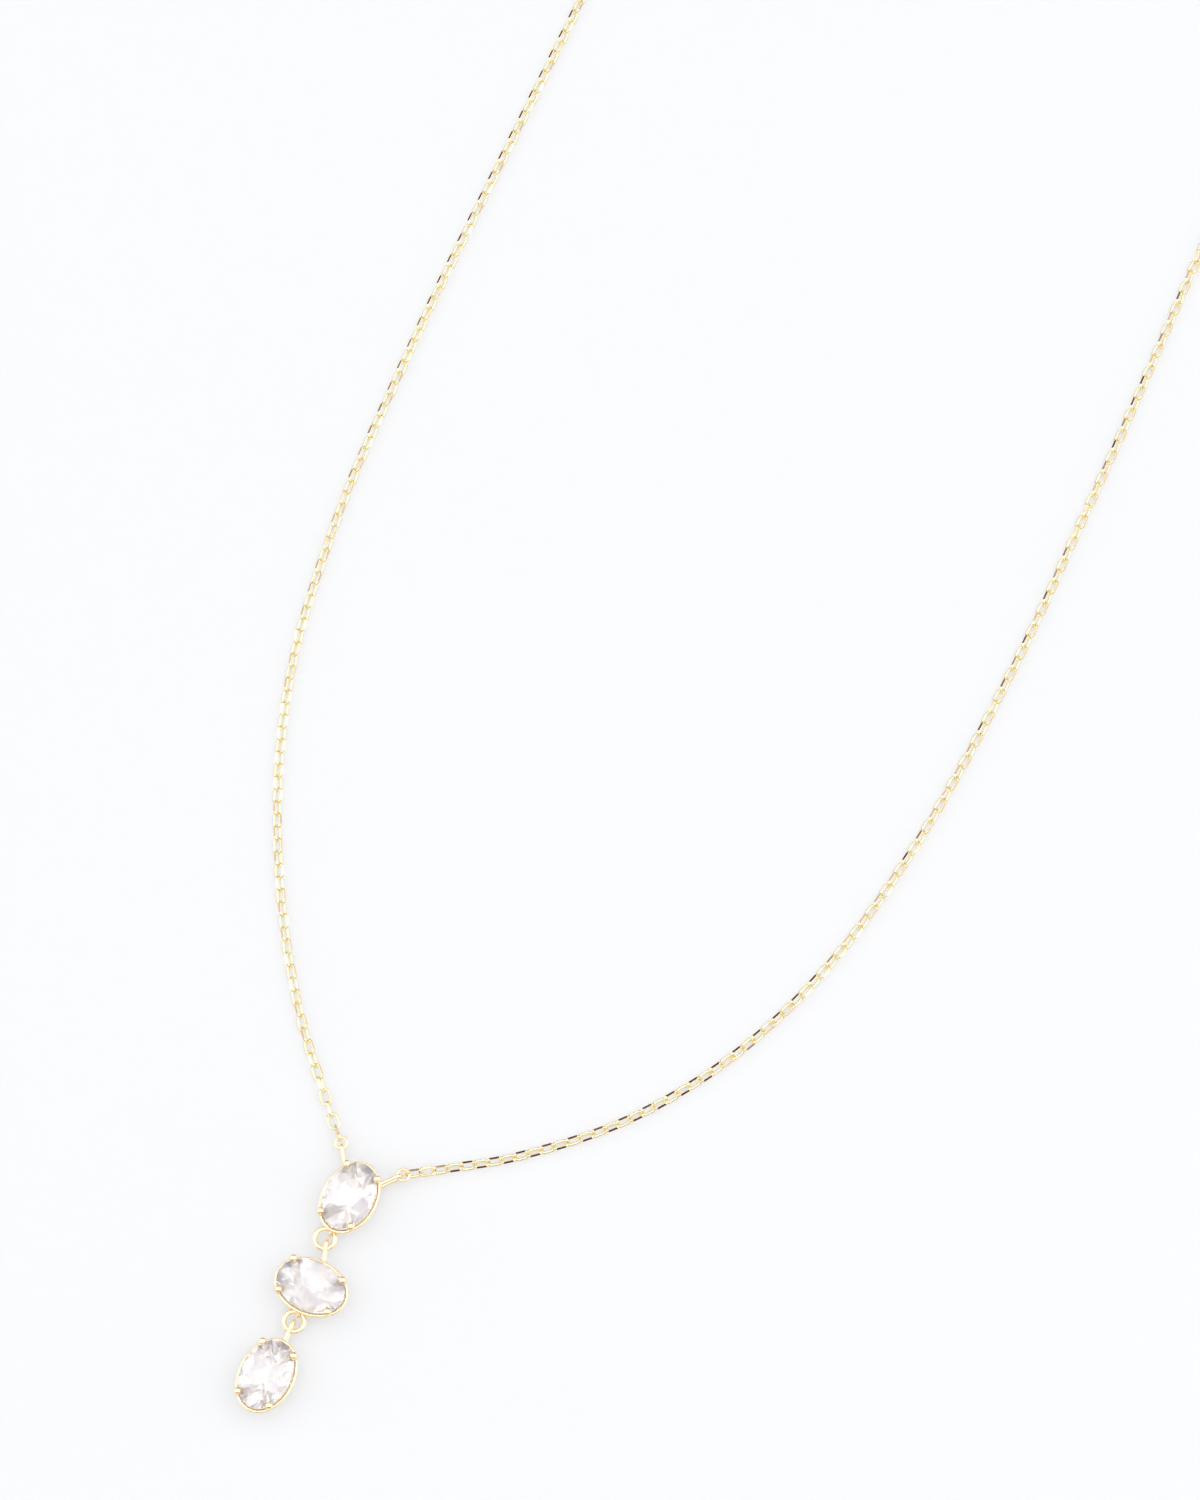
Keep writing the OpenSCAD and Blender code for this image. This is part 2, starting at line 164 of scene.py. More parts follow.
def join(bm, a, b):
    """Makes the band of faces between two rings that have as many points."""
    for k in range(len(a)):
        n = (k + 1) % len(a)
        bm.faces.new((a[k], b[k], b[n], a[n]))


def sweep(bm, path, radius, normal, sides=16, closed=True):
    """A round wire along a path that lies near the plane with that normal. radius is a number, or one for
    each point. An open wire gets flat ends."""
    count = len(path)
    radii = radius if isinstance(radius, list) else [radius] * count
    rings = []
    for i, point in enumerate(path):
        before = path[i - 1] if closed or i else point
        after = path[(i + 1) % count] if closed or i < count - 1 else point
        along = (after - before).normalized()
        side = along.cross(normal).normalized()
        up = side.cross(along)
        rings.append([bm.verts.new(co) for co in circle(point, radii[i], side, up, sides)])
    for i in range(count if closed else count - 1):
        join(bm, rings[i], rings[(i + 1) % count])
    if not closed:
        bm.faces.new(rings[0])
        bm.faces.new(rings[-1][::-1])


def ball(bm, middle, radius, squash=1.0):
    """A bead, squash times as high as it is wide."""
    made = bmesh.ops.create_uvsphere(bm, u_segments=28, v_segments=18, radius=radius)
    shape = Matrix.Translation(middle) @ Matrix.Diagonal((1, 1, squash, 1))
    bmesh.ops.transform(bm, matrix=shape, verts=made["verts"])


def stadium(length, width, wire, bow_steps=16):
    """The middle line of a long loop of wire, lengthways along Y round the origin."""
    bow = (width - wire) / 2
    half = (length - width) / 2
    line = []
    for end in (1, -1):
        for k in range(bow_steps + 1):
            a = math.pi * k / bow_steps
            line.append(Vector((end * bow * math.cos(a), end * (half + bow * math.sin(a)), 0)))
    return line


def new_object(name, data):
    """Adds an object to the scene, at the origin."""
    made = bpy.data.objects.new(name, data)
    bpy.context.scene.collection.objects.link(made)
    return made


def applied(draft):
    """The plain mesh that an object's modifiers make of it. The object itself is removed."""
    evaluated = draft.evaluated_get(bpy.context.evaluated_depsgraph_get())
    mesh = bpy.data.meshes.new_from_object(evaluated)
    bpy.data.objects.remove(draft)
    return mesh


def place(bm, name, material):
    """Turns a mesh in millimetres into a finished, smooth piece at the origin, in metres."""
    bmesh.ops.recalc_face_normals(bm, faces=bm.faces)
    bmesh.ops.scale(bm, vec=Vector((MM, MM, MM)), verts=bm.verts)
    mesh = bpy.data.meshes.new(name)
    bm.to_mesh(mesh)
    bm.free()
    mesh.materials.append(material)
    mesh.polygons.foreach_set("use_smooth", [True] * len(mesh.polygons))
    return new_object(name, mesh)


# Settings

def quarter(sx, sy, half_w, half_l, z):
    """The claws' point on an oval, in the quarter with signs sx and sy."""
    a = math.radians(CLAW_ANGLE)
    return Vector((sx * half_w * math.cos(a), sy * half_l * math.sin(a), z))


def smooth_line(points, steps):
    """A Catmull-Rom line through the points, with that many steps between each two."""
    line = []
    last = len(points) - 1
    for i in range(last):
        a, b = points[max(i - 1, 0)], points[i]
        c, d = points[i + 1], points[min(i + 2, last)]
        for k in range(steps):
            t = k / steps
            bend = (2 * a - 5 * b + 4 * c - d) * t * t + (3 * b - a - 3 * c + d) * t ** 3
            line.append(b + ((c - a) * t + bend) / 2)
    return line + [points[last]]


def claw(bm, sx, sy):
    """One claw: from the base rail past the girdle, thickest at its foot, with a bead pressed down on the
    crown."""
    foot = quarter(sx, sy, (BASE_W - BASE_BAND) / 2, (BASE_L - BASE_BAND) / 2, CLAW_FOOT_Z)
    knee = quarter(sx, sy, STONE_W / 2 + CLAW_KNEE_OUT, STONE_L / 2 + CLAW_KNEE_OUT, CLAW_KNEE_Z)
    tip = quarter(sx, sy, STONE_W / 2 + CLAW_TIP_OUT, STONE_L / 2 + CLAW_TIP_OUT, CLAW_TIP_Z)
    line = smooth_line([foot, foot.lerp(knee, 0.5), knee, tip], steps=6)
    last = len(line) - 1
    radii = [CLAW_WIRE / 2 * (CLAW_SWELL - CLAW_TAPER * i / last) for i in range(len(line))]
    level = Vector((foot.y, -foot.x, 0)).normalized()
    sweep(bm, line, radii, level, sides=18, closed=False)
    ball(bm, tip, BEAD_D / 2)


def oval_line(half_w, half_l, z, count=96):
    return [Vector((half_w * math.cos(a), half_l * math.sin(a), z)) for a in full_turn(count)]


def base_band(bm):
    """The flat oval band that the setting stands on, with its edges eased."""
    ease = 0.06
    half = BASE_BAND / 2
    outline = [(-half, ease), (-half + ease, 0), (half - ease, 0), (half, ease), (half, BASE_H - ease),
               (half - ease, BASE_H), (-half + ease, BASE_H), (-half, BASE_H - ease)]
    line = oval_line((BASE_W - BASE_BAND) / 2, (BASE_L - BASE_BAND) / 2, 0)
    rings = []
    for i, point in enumerate(line):
        along = line[(i + 1) % len(line)] - line[i - 1]
        out = Vector((along.y, -along.x, 0)).normalized()
        rings.append([bm.verts.new(point + out * r + Vector((0, 0, z))) for r, z in outline])
    for i, ring in enumerate(rings):
        join(bm, ring, rings[(i + 1) % len(rings)])


def long_eyelet(bm, angle, lean):
    """A long eyelet on edge, soldered to the upper rail in the direction angle."""
    length = EYELET_REACH + EYELET_INSET
    out = oval_reach(RAIL_HALF_W, RAIL_HALF_L, angle)
    root = heading(angle, out)
    along = heading(angle + lean)
    up = Vector((0, 0, 1))
    middle = at_height(root + along * (EYELET_REACH - length / 2), RING_Z)
    path = [middle + p.y * along + p.x * up for p in stadium(length, EYELET_H, EYELET_WIRE)]
    sweep(bm, path, EYELET_WIRE / 2, along.cross(up), sides=16)
    # Solder where the eyelet meets the rail
    ball(bm, at_height(root, SOLDER_Z), SOLDER_R, SOLDER_SQUASH)


def drop_eyelet(bm, out):
    """The small eyelet on edge under the rail, on the side away from the chain."""
    middle = Vector((0, -out, RING_Z))
    radius = (DROP_EYELET_D - DROP_EYELET_WIRE) / 2
    y, z = Vector((0, 1, 0)), Vector((0, 0, 1))
    eyelet = circle(middle, radius, y, z, count=40)
    sweep(bm, eyelet, DROP_EYELET_WIRE / 2, Vector((1, 0, 0)), sides=14)


def brilliant(grow=0.0):
    """The corners of the stone's table, stars, girdle, lower girdle, pavilion and keel, with the stone made
    larger by grow. half_step is half the angle between two of the table's eight corners."""
    table_r, star_r, break_share, fullness, half_step = 0.5, 0.78, 0.6, 0.04, 22.5
    half_w, half_l, keel = STONE_W / 2 + grow, STONE_L / 2 + grow, KEEL_L / 2 + grow
    low, high = -grow, GIRDLE_H + grow
    step = math.cos(math.radians(half_step))
    star_z = high + CROWN_H * (1 - (star_r * step - table_r) / (1 - table_r))

    def ring(r, z, count, first):
        turns = [math.radians(first + 360 * k / count) for k in range(count)]
        return [Vector((r * half_w * math.cos(a), r * half_l * math.sin(a), z)) for a in turns]

    table = ring(table_r, high + CROWN_H, 8, 0)
    stars = ring(star_r, star_z, 8, half_step)
    girdle = ring(1, high, 16, 0) + ring(1, low, 16, 0)
    breaks = ring(1 - break_share, low - PAVILION_H * break_share - fullness, 8, half_step)
    for co in breaks:
        co.y += math.copysign(keel * break_share, co.y)
    ends = [Vector((0, keel, low - PAVILION_H)), Vector((0, -keel, low - PAVILION_H))]
    return table + stars + girdle + breaks + ends


def seat_planes():
    """The faces of the stone's own form, a little larger, as (point, outward normal)."""
    bm = bmesh.new()
    for co in brilliant(SEAT_GAP):
        bm.verts.new(co + Vector((0, 0, GIRDLE_Z)))
    bmesh.ops.convex_hull(bm, input=bm.verts)
    bmesh.ops.recalc_face_normals(bm, faces=bm.faces)
    planes = [(face.verts[0].co.copy(), face.normal.copy()) for face in bm.faces]
    bm.free()
    return planes


def cut_seat(bm, turn):
    """Presses the metal back to the stone's faces, so that each claw holds the stone in a seat."""
    planes = [(turn @ point, turn.to_3x3() @ normal) for point, normal in seat_planes()]
    for vert in bm.verts:
        depth, normal = max(((vert.co - point).dot(normal), tuple(normal)) for point, normal in planes)
        if depth < 0:
            vert.co -= Vector(normal) * depth


def cast(bm, name):
    """Makes the shells of one setting a single skin with soft joints, as cast and soldered metal has."""
    voxel = 0.05
    mesh = bpy.data.meshes.new(name + "_shells")
    bmesh.ops.recalc_face_normals(bm, faces=bm.faces)
    bm.to_mesh(mesh)
    bm.free()
    shells = new_object(name + "_shells", mesh)
    skin = shells.modifiers.new("skin", "REMESH")
    skin.mode, skin.voxel_size, skin.use_smooth_shade = "VOXEL", voxel, True
    soften = shells.modifiers.new("soften", "SMOOTH")
    soften.factor, soften.iterations = 0.5, 4
    made = applied(shells)
    out = bmesh.new()
    out.from_mesh(made)
    bpy.data.meshes.remove(made)
    return out


def setting(name, at, turn, across, chain_eyelets, drop_out, material):
    """One setting. across is the quarter turn of a basket that lies across the drop, chain_eyelets are
    (angle, lean) of its long eyelets, and drop_out is how far out its small eyelet is, or None."""
    bm = bmesh.new()
    for sx in (-1, 1):
        for sy in (-1, 1):
            claw(bm, sx, sy)
    line = oval_line(RAIL_HALF_W, RAIL_HALF_L, RAIL_Z)
    sweep(bm, line, RAIL_WIRE / 2, Vector((0, 0, 1)))
    base_band(bm)
    for angle, lean in chain_eyelets:
        long_eyelet(bm, angle, lean)
    quarter_turn = Matrix.Rotation(math.radians(across), 4, "Z")
    bmesh.ops.transform(bm, matrix=quarter_turn, verts=bm.verts)
    if drop_out is not None:
        drop_eyelet(bm, drop_out)
    bm = cast(bm, name)
    cut_seat(bm, quarter_turn)
    home = Matrix.Translation(at) @ Matrix.Rotation(math.radians(-turn), 4, "Z")
    bmesh.ops.transform(bm, matrix=home, verts=bm.verts)
    return place(bm, name, material)


# Rings and clasp

def axes(tilt):
    """The directions X, Y and Z, turned by tilt."""
    return [tilt @ Vector(axis) for axis in ((1, 0, 0), (0, 1, 0), (0, 0, 1))]


def round_ring(name, middle, radius, wire, material, tilt=Matrix.Identity(3)):
    """A closed ring of round wire, lying flat unless tilt turns it."""
    bm = bmesh.new()
    x, y, z = axes(tilt)
    sweep(bm, circle(middle, radius, x, y, count=64), wire / 2, z, sides=20)
    return place(bm, name, material)


def clasp(material):
    """The round clasp, shut, with an eyelet on edge for the chain."""
    bm = bmesh.new()
    x, y, z = axes(Matrix.Rotation(math.radians(-CLASP_TILT), 3, "Y"))
    body = circle(CLASP_AT, (CLASP_D - CLASP_BODY) / 2, x, y, count=72)
    sweep(bm, body, CLASP_BODY / 2, z, sides=24)
    x, z = Vector((1, 0, 0)), Vector((0, 0, 1))
    eyelet = circle(CLASP_EYELET_AT, CLASP_EYELET_R, x, z, count=40)
    sweep(bm, eyelet, CLASP_EYELET_WIRE / 2, Vector((0, 1, 0)), sides=16)
    return place(bm, "round_clasp", material)


# Node trees

class Nodes:
    """A node tree, and short ways to add to it."""

    def __init__(self, tree):
        self.tree = tree

    def link(self, source, socket):
        self.tree.links.new(source, socket)

    def node(self, kind, inputs=None, **settings):
        """Adds a node. inputs maps a socket's name or number to a value or to another node's socket."""
        made = self.tree.nodes.new(kind)
        for key, value in settings.items():
            setattr(made, key, value)
        for key, value in (inputs or {}).items():
            if isinstance(value, bpy.types.NodeSocket):
                self.link(value, made.inputs[key])
            else:
                made.inputs[key].default_value = value
        return made

    def math(self, operation, a, b=0.0, c=0.0):
        return self.node("ShaderNodeMath", {0: a, 1: b, 2: c}, operation=operation).outputs[0]

    def ramp(self, value, start, end, low=0.0, high=1.0, easing="SMOOTHSTEP"):
        """Goes from low to high as value goes from start to end."""
        span = {"Value": value, "From Min": start, "From Max": end, "To Min": low, "To Max": high}
        return self.node("ShaderNodeMapRange", span, interpolation_type=easing).outputs["Result"]

    def blend(self, share, a, b):
        """Goes from the colour a to the colour b. Either may be another node's colour."""
        a, b = (c if isinstance(c, bpy.types.NodeSocket) else (*c, 1) for c in (a, b))
        return self.node("ShaderNodeMix", {"Factor": share, 6: a, 7: b}, data_type="RGBA").outputs[2]


# Chain

def link_mesh():
    """One chain link of six-sided wire, lengthways along Y, with its two outer sides cut flat. The flat
    faces are marked in the attribute cut, and only they are shaded flat."""
    sides = 6
    bow_turns = (0, 12, 51, 90, 129, 168, 180)
    flat_turns = 12
    bow_y = LINK_HALF_L - LINK_HALF_W
    flat_x = LINK_HALF_W + LINK_WIRE / 2 - CUT_DEPTH
    bm = bmesh.new()
    rings = []
    for end in (1, -1):
        for turn in bow_turns:
            a = math.radians(turn)
            out = Vector((math.cos(a), math.sin(a), 0)) * end
            middle = out * LINK_HALF_W + Vector((0, end * bow_y, 0))
            ring = []
            for k in range(sides):
                b = math.radians(360 * (k + 0.5) / sides)
                co = middle + LINK_WIRE / 2 * (math.cos(b) * out + Vector((0, 0, math.sin(b))))
                # The two corners on the wire's outer side, 30 degrees off its middle, go onto the flat
                outer = math.cos(b) > 0.5 and min(turn, 180 - turn) <= flat_turns
                if outer:
                    co.x, co.z = math.copysign(flat_x, co.x), math.copysign(CUT_WIDTH / 2, co.z)
                ring.append((bm.verts.new(co), outer))
            rings.append(ring)
    cut = bm.faces.layers.bool.new("cut")
    for i, a in enumerate(rings):
        b = rings[(i + 1) % len(rings)]
        for k in range(sides):
            n = (k + 1) % sides
            corners = (a[k], b[k], b[n], a[n])
            face = bm.faces.new([vert for vert, _ in corners])
            face[cut] = all(outer for _, outer in corners)
    bmesh.ops.recalc_face_normals(bm, faces=bm.faces)
    mesh = bpy.data.meshes.new("chain_link")
    for face in bm.faces:
        face.smooth = not face[cut]
    bmesh.ops.scale(bm, vec=Vector((MM, MM, MM)), verts=bm.verts)
    bm.to_mesh(mesh)
    bm.free()
    return mesh


class Tree(Nodes):
    """A geometry node tree with named inputs."""

    def __init__(self, name):
        super().__init__(bpy.data.node_groups.new(name, "GeometryNodeTree"))
        self.tree.interface.new_socket("Geometry", in_out="INPUT", socket_type="NodeSocketGeometry")
        self.tree.interface.new_socket("Geometry", in_out="OUTPUT", socket_type="NodeSocketGeometry")
        self.entry = self.tree.nodes.new("NodeGroupInput")
        self.exit = self.tree.nodes.new("NodeGroupOutput")

    def input(self, name, kind):
        self.tree.interface.new_socket(name, in_out="INPUT", socket_type="NodeSocket" + kind)
        return self.entry.outputs[name]


def chain_tree():
    """Hangs a link at each step of a route. Each link is rolled a quarter turn from the one before it, on
    top of a slow twist that brings the two ends square to what they hold."""
    tree = Tree("cable_chain")
    link = tree.input("Link", "Object")
    first = tree.input("Start", "Float")
    last = tree.input("End", "Float")
    links = tree.input("Links", "Int")
    first_roll = tree.input("First roll", "Float")
    middle_turn = tree.input("Middle turn", "Float")
    end_turn = tree.input("End turn", "Float")
    turn_length = tree.input("Turn length", "Float")
    lean = tree.input("Lean", "Float")
    sway = tree.input("Sway", "Float")
    seed = tree.input("Seed", "Int")
    metal = tree.input("Metal", "Material")
    cut_metal = tree.input("Cut metal", "Material")

    trimmed = tree.node("GeometryNodeTrimCurve", {"Curve": tree.entry.outputs["Geometry"]}, mode="LENGTH")
    # The node has a pair for factors and a pair for lengths, and the lengths come last
    for name, value in (("Start", first), ("End", last)):
        socket = [s for s in trimmed.inputs if s.name == name][-1]
        tree.link(value, socket)
    steps = tree.node("GeometryNodeResampleCurve", {"Curve": trimmed.outputs[0], "Count": links},
                      mode="COUNT")
    along = tree.node("GeometryNodeSplineParameter").outputs["Length"]
    whole = tree.node("GeometryNodeSplineLength").outputs["Length"]
    index = tree.node("GeometryNodeInputIndex").outputs[0]
    tangent = tree.node("GeometryNodeInputTangent").outputs[0]

    last_turn = tree.math("SUBTRACT", whole, turn_length)
    middle = tree.ramp(along, 0.0, turn_length, 0.0, middle_turn)
    end = tree.ramp(along, last_turn, whole, 0.0, end_turn)
    roll = tree.math("MULTIPLY_ADD", index, math.pi / 2, first_roll)
    roll = tree.math("ADD", roll, tree.math("ADD", middle, end))
    # Every other link leans the other way, so that both outer sides turn up a little
    way = tree.math("MULTIPLY_ADD", tree.math("MODULO", index, 2.0), -2.0, 1.0)
    free = tree.math("MULTIPLY", tree.ramp(along, 0.0, turn_length),
                     tree.ramp(along, last_turn, whole, 1.0, 0.0))
    roll = tree.math("MULTIPLY_ADD", tree.math("MULTIPLY", way, lean), free, roll)
    # Sockets 2 and 3 are the least and the most of a random number
    span = {2: tree.math("MULTIPLY", sway, -1.0), 3: sway, "Seed": seed}
    wobble = tree.node("FunctionNodeRandomValue", span, data_type="FLOAT")
    roll = tree.math("ADD", roll, wobble.outputs[1])
    level = tree.node("FunctionNodeAxesToRotation", {0: tangent, 1: (0, 0, 1)},
                      primary_axis="Y", secondary_axis="Z")
    turn = tree.node("FunctionNodeAxisAngleToRotation", {"Axis": (0, 1, 0), "Angle": roll})
    rolled = tree.node("FunctionNodeRotateRotation", {0: level.outputs[0], 1: turn.outputs[0]},
                       rotation_space="LOCAL")
    shape = tree.node("GeometryNodeObjectInfo", {"Object": link}).outputs["Geometry"]
    placed = tree.node("GeometryNodeInstanceOnPoints",
                       {"Points": steps.outputs[0], "Instance": shape, "Rotation": rolled.outputs[0]})
    real = tree.node("GeometryNodeRealizeInstances", {0: placed.outputs[0]})
    is_cut = tree.node("GeometryNodeInputNamedAttribute", {"Name": "cut"}, data_type="BOOLEAN")
    plain = tree.node("GeometryNodeSetMaterial", {"Geometry": real.outputs[0], "Material": metal})
    done = tree.node("GeometryNodeSetMaterial", {"Geometry": plain.outputs[0], "Material": cut_metal,
                                                 "Selection": is_cut.outputs["Attribute"]})
    tree.link(done.outputs[0], tree.exit.inputs["Geometry"])
    return tree.tree


def curve_object(name, line):
    """A bare curve through points in millimetres, for a geometry node tree to follow."""
    curve = bpy.data.curves.new(name, "CURVE")
    curve.dimensions = "3D"
    spline = curve.splines.new("POLY")
    spline.points.add(len(line) - 1)
    for point, co in zip(spline.points, line):
        point.co = (*(co * MM), 1)
    return new_object(name, curve)


def line_length(line):
    return sum((b - a).length for a, b in zip(line, line[1:]))


def side_points(side):
    """The route's points along one side, up to the half circle."""
    heights = FALL_Z + (CHAIN_Z,) * (len(side) - len(FALL_Z))
    return [Vector((x, y, z)) for (x, y), z in zip(side, heights)]


def back_points(side, rise_z):
    """The route's points on the half circle, side -1 for the left and 1 for the right."""
    points = []
    for step in ARC_STEPS:
        a = math.radians(step)
        z = rise_z if step == ARC_STEPS[-1] else CHAIN_Z
        points.append(Vector((side * LOOP_R * math.cos(a), LOOP_Y + LOOP_R * math.sin(a), z)))
    return points


def chain(name, route, start_held, end_held, rolls, turn_over, seed, tree, link, metals):
    """One side of the chain. Its end links hold wires of the given thickness, rolls are the first link's
    roll, the turn to the middle stretch and the turn to the last link, in degrees, and turn_over is the
    length that each of the two turns takes."""
    line = smooth_line(route, steps=12)
    start = LINK_HALF_L - (END_GAP + start_held + HOLD_GAP + LINK_WIRE / 2)
    end = line_length(line) - (LINK_HALF_L - (END_GAP + end_held + HOLD_GAP + LINK_WIRE / 2))
    links = round((end - start) / LINK_PITCH) + 1
    guide = curve_object(name + "_route", line)
    modifier = guide.modifiers.new("links", "NODES")
    modifier.node_group = tree
    values = {"Link": link, "Start": start * MM, "End": end * MM, "Links": links,
              "First roll": math.radians(rolls[0]), "Middle turn": math.radians(rolls[1]),
              "End turn": math.radians(rolls[2]), "Turn length": turn_over * MM,
              "Lean": math.radians(LINK_LEAN), "Sway": math.radians(LINK_SWAY), "Seed": seed,
              "Metal": metals[0], "Cut metal": metals[1]}
    for socket in tree.interface.items_tree:
        if socket.in_out == "INPUT" and socket.name in values:
            modifier[socket.identifier] = values[socket.name]
    mesh = applied(guide)
    mesh.name = name
    return new_object(name, mesh)


# Materials. A scale is in features to the metre, and a relief is in metres

class Finish(Nodes):
    """A material whose nodes read the piece's own object coordinates."""

    def __init__(self, name):
        self.material = bpy.data.materials.new(name)
        self.material.use_nodes = True
        super().__init__(self.material.node_tree)
        self.shader = self.tree.nodes["Principled BSDF"]
        self.where = self.node("ShaderNodeTexCoord").outputs["Object"]

    def set(self, **values):
        """Sets what is the same all over the surface, on the shader's own sockets."""
        for name, value in values.items():
            self.shader.inputs[name.replace("_", " ")].default_value = value

    def feed(self, name, socket):
        self.link(socket, self.shader.inputs[name])

    def noise(self, scale, detail=3.0):
        cloud = {"Vector": self.where, "Scale": scale, "Detail": detail}
        return self.node("ShaderNodeTexNoise", cloud).outputs["Fac"]

    def spread(self, value, low, high, start=0.3, end=0.7):
        """Brings a noise to the range from low to high."""
        return self.ramp(value, start, end, low, high, "LINEAR")

    def cells(self, scale):
        """Two random numbers, each the same all over one small cell."""
        cell = self.node("ShaderNodeTexVoronoi", {"Vector": self.where, "Scale": scale})
        split = self.node("ShaderNodeSeparateColor", {0: cell.outputs["Color"]})
        return split.outputs[0], split.outputs[1]

    def bump(self, height, relief):
        bumps = self.node("ShaderNodeBump", {"Height": height, "Distance": relief, "Strength": 1.0})
        self.feed("Normal", bumps.outputs["Normal"])


def polished_gold(name, light, deep, smoothest, roughest, relief):
    """Pale yellow gold plate, polished, with faint clouds in its colour and gloss."""
    cloud_scale, gloss_scale, grain_scale = 900, 2600, 5200
    gold = Finish(name)
    gold.set(Metallic=1.0)
    gold.feed("Base Color", gold.blend(gold.spread(gold.noise(cloud_scale), 0, 1), light, deep))
    gold.feed("Roughness", gold.spread(gold.noise(gloss_scale, detail=4), smoothest, roughest))
    gold.bump(gold.noise(grain_scale, detail=2), relief)
    return gold.material


def clear_stone():
    """A clear cut stone with a slight haze and small faint cells of lilac and peach. Both stand in for
    the light that goes round inside a stone, and parts into colours, more often than the renderer
    follows it."""
    cloud_scale, cell_scale = 420, 2000
    warm_white, cool_white = (0.985, 0.955, 0.94), (0.96, 0.955, 0.96)
    lilac, peach = (0.87, 0.85, 0.92), (0.99, 0.92, 0.87)
    stone = Finish("clear_stone")
    stone.set(IOR=1.75, Roughness=0.0, Transmission_Weight=0.8)
    clear = stone.blend(stone.spread(stone.noise(cloud_scale), 0, 1), warm_white, cool_white)
    cool, warm = stone.cells(cell_scale)
    clear = stone.blend(stone.spread(cool, 0, 1, start=0.7, end=0.85), clear, lilac)
    clear = stone.blend(stone.spread(warm, 0, 1, start=0.82, end=0.9), clear, peach)
    stone.feed("Base Color", clear)
    return stone.material


def pale_card():
    """The matte near-white surface that the necklace lies on. It glows a little, as on a light table, so
    that the necklace throws only a faint shadow."""
    cloud_scale, grain_scale, relief = 9, 1400, 0.00001
    card = Finish("pale_card")
    card.set(Roughness=0.75, Emission_Color=(0.972, 0.983, 1, 1), Emission_Strength=0.48)
    cloud = card.spread(card.noise(cloud_scale, detail=4), 0, 1)
    card.feed("Base Color", card.blend(cloud, (0.317, 0.327, 0.335), (0.3225, 0.3305, 0.3385)))
    card.bump(card.noise(grain_scale), relief)
    return card.material


# Surroundings

def surroundings():
    """A bright tent with a low dark slot at each end. The cut faces of the links mirror the slots as dark
    dashes, which the cut faces' darker colour deepens as painted shade. The stones break the slots and the
    faint clouds in the cloth into small grey patches."""
    world = bpy.data.worlds.new("soft_room")
    bpy.context.scene.world = world
    world.use_nodes = True
    tent = Nodes(world.node_tree)
    where = tent.node("ShaderNodeTexCoord").outputs["Generated"]

    towards = tent.node("ShaderNodeVectorMath", {0: where, 1: OPENINGS}, operation="DOT_PRODUCT")
    height = tent.node("ShaderNodeSeparateXYZ", {0: where}).outputs["Z"]
    end = tent.ramp(tent.math("ABSOLUTE", towards.outputs["Value"]), *SLOT_SIDE)
    low = tent.math("SUBTRACT", 1.0, tent.ramp(height, *SLOT_TOP))
    clouds = tent.node("ShaderNodeTexNoise", {"Vector": where, "Scale": CLOUD_SCALE, "Detail": 1.0})
    cloth = tent.blend(tent.ramp(clouds.outputs["Fac"], *CLOUD_EDGE), TENT_CLOTH, TENT_SHADE)

    sky = tent.tree.nodes["Background"]
    tent.link(tent.blend(tent.math("MULTIPLY", end, low), cloth, SLOT_DARK), sky.inputs["Color"])
    sky.inputs["Strength"].default_value = TENT_LIGHT


def soft_lamp(name, at, target, size, power):
    """A square lamp that looks at target, in metres and watts."""
    lamp = bpy.data.lights.new(name, "AREA")
    lamp.shape, lamp.size, lamp.energy = "SQUARE", size, power
    holder = new_object(name, lamp)
    holder.location = at
    holder.rotation_euler = (Vector(target) - Vector(at)).to_track_quat("-Z", "Y").to_euler()


def table_top(material):
    """The flat surface under the necklace. half is half of its side, in metres."""
    half = 1.5
    bm = bmesh.new()
    corners = [bm.verts.new((x * half, y * half, 0)) for x, y in ((-1, -1), (1, -1), (1, 1), (-1, 1))]
    bm.faces.new(corners)
    mesh = bpy.data.meshes.new("table_top")
    bm.to_mesh(mesh)
    bm.free()
    mesh.materials.append(material)
    top = new_object("table_top", mesh)


def camera():
    """The photograph's view: from above, a little towards the drop's end. Places are in metres, and the
    frame's upright angle and the roll are in degrees."""
    at, target = Vector((0.0538, -0.1447, 0.382)), Vector((0.00014, -0.0236, 0))
    upright_angle, roll_angle, nearest = 21.37, -0.3, 0.01
    lens = bpy.data.cameras.new("camera")
    lens.sensor_fit = "VERTICAL"
    lens.angle = math.radians(upright_angle)
    lens.clip_start = nearest
    eye = new_object("camera", lens)
    eye.location = at
    roll = Matrix.Rotation(math.radians(roll_angle), 3, "Z")
    eye.rotation_euler = ((target - at).to_track_quat("-Z", "Y").to_matrix() @ roll).to_euler()
    bpy.context.scene.camera = eye


# The whole necklace. Each of the next three functions gives its pieces by the node that they stand for

def claw_settings(gold):
    return {
        "setting_top": setting(
            "claw_setting_top", TOP_AT, TOP_TURN, across=0, drop_out=RAIL_HALF_L, material=gold,
            chain_eyelets=[(-CHAIN_EYELET_ANGLE, 0), (CHAIN_EYELET_ANGLE, 0)]),
        "setting_middle": setting(
            "claw_setting_middle", MIDDLE_AT, MIDDLE_TURN, across=90, drop_out=RAIL_HALF_W, material=gold,
            chain_eyelets=[(90, MIDDLE_EYELET_LEAN)]),
        "setting_bottom": setting(
            "claw_setting_bottom", BOTTOM_AT, BOTTOM_TURN, across=0, drop_out=None, material=gold,
            chain_eyelets=[(0, BOTTOM_EYELET_LEAN)]),
    }


